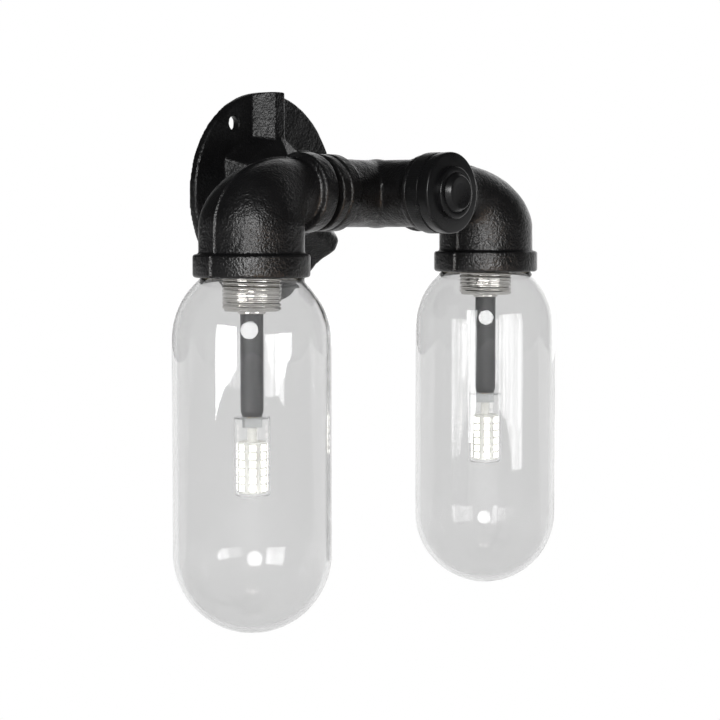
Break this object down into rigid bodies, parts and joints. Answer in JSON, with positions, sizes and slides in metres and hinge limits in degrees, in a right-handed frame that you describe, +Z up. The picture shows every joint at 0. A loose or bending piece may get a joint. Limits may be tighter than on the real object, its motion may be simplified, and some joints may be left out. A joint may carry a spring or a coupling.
{
  "type": "industrial pipe wall light",
  "caption": "Wall light of black pipe fittings: a flange and cross carry turning elbows with clear capsule shades over small corn bulbs, and a push switch faces the room.",
  "frame": {"origin": "centre of the wall flange's back face, on the wall nipple's axis", "axes": "+X along the cross-bar to the right seen from the room, +Y into the wall, +Z up"},
  "size_m": [0.2477, 0.1272, 0.251],
  "materials": {
    "cast_black": "black painted sand casting, satin",
    "pipe_black": "black painted pipe, satin",
    "turned_black": "black coated turned metal, satin",
    "plated_sleeve": "bright plated",
    "tube_black": "black sleeve, matt",
    "socket_ceramic": "glazed ceramic",
    "lead_sleeve": "black sleeved lead",
    "gasket_rubber": "cream rubber ring",
    "spring_steel": "drawn wire",
    "black_phenolic": "moulded",
    "terminal_brass": "stamped",
    "connector_nylon": "moulded nylon",
    "bulb_base": "translucent moulded",
    "led_board": "white board",
    "led_chip": "lit light-emitting chip",
    "bulb_clear": "clear moulded cover",
    "shade_glass": "clear blown glass"
  },
  "bodies": {
    "wall_body": {"wall_flange": "cast_black", "wall_nipple": "pipe_black", "cross_fitting": "cast_black", "bar_lock_ring_left": "cast_black", "bar_lock_ring_right": "cast_black", "bar_nipple_left": "pipe_black", "bar_nipple_right": "pipe_black", "switch_ring": "turned_black", "switch_barrel": "turned_black", "switch_spring": "spring_steel", "contact_block": "black_phenolic", "switch_terminals": "terminal_brass", "wire_connector": "connector_nylon"},
    "button_body": {"push_button": "turned_black"},
    "left_arm_body": {"elbow_left": "cast_black", "shade_gasket_left": "gasket_rubber", "lamp_bush_left": "turned_black", "lamp_sleeve_left": "plated_sleeve", "tube_nut_left": "plated_sleeve", "lamp_tube_left": "tube_black", "lamp_socket_left": "socket_ceramic", "lamp_lead_left": "lead_sleeve"},
    "left_bulb_body": {"bulb_base_left": "bulb_base", "bulb_pins_left": "terminal_brass", "led_core_left": "led_board", "led_chips_left": "led_chip", "bulb_cover_left": "bulb_clear"},
    "left_shade_body": {"glass_shade_left": "shade_glass"},
    "right_arm_body": {"elbow_right": "cast_black", "shade_gasket_right": "gasket_rubber", "lamp_bush_right": "turned_black", "lamp_sleeve_right": "plated_sleeve", "tube_nut_right": "plated_sleeve", "lamp_tube_right": "tube_black", "lamp_socket_right": "socket_ceramic", "lamp_lead_right": "lead_sleeve"},
    "right_bulb_body": {"bulb_base_right": "bulb_base", "bulb_pins_right": "terminal_brass", "led_core_right": "led_board", "led_chips_right": "led_chip", "bulb_cover_right": "bulb_clear"},
    "right_shade_body": {"glass_shade_right": "shade_glass"}
  },
  "joints": [
    {"name": "switch_press", "type": "slide", "parent": "wall_body", "child": "button_body", "axis": [0, 1, 0], "range_m": [0, 0.003], "stiffness_N_per_m": 400, "springref_m": -0.002, "deforming": ["switch_spring"]},
    {"name": "left_elbow_swivel", "type": "hinge", "parent": "wall_body", "child": "left_arm_body", "pos_m": [-0.08785, -0.0758, 0], "axis": [1, 0, 0], "range_deg": [-90, 8]},
    {"name": "left_shade_removal", "type": "slide", "parent": "left_arm_body", "child": "left_shade_body", "axis": [0, 0, -1], "range_m": [0, 0.112]},
    {"name": "left_bulb_removal", "type": "slide", "parent": "left_arm_body", "child": "left_bulb_body", "axis": [0, 0, -1], "range_m": [0, 0.012]},
    {"name": "right_elbow_swivel", "type": "hinge", "parent": "wall_body", "child": "right_arm_body", "pos_m": [0.08785, -0.0758, 0], "axis": [1, 0, 0], "range_deg": [-90, 8]},
    {"name": "right_shade_removal", "type": "slide", "parent": "right_arm_body", "child": "right_shade_body", "axis": [0, 0, -1], "range_m": [0, 0.112]},
    {"name": "right_bulb_removal", "type": "slide", "parent": "right_arm_body", "child": "right_bulb_body", "axis": [0, 0, -1], "range_m": [0, 0.012]}
  ]
}
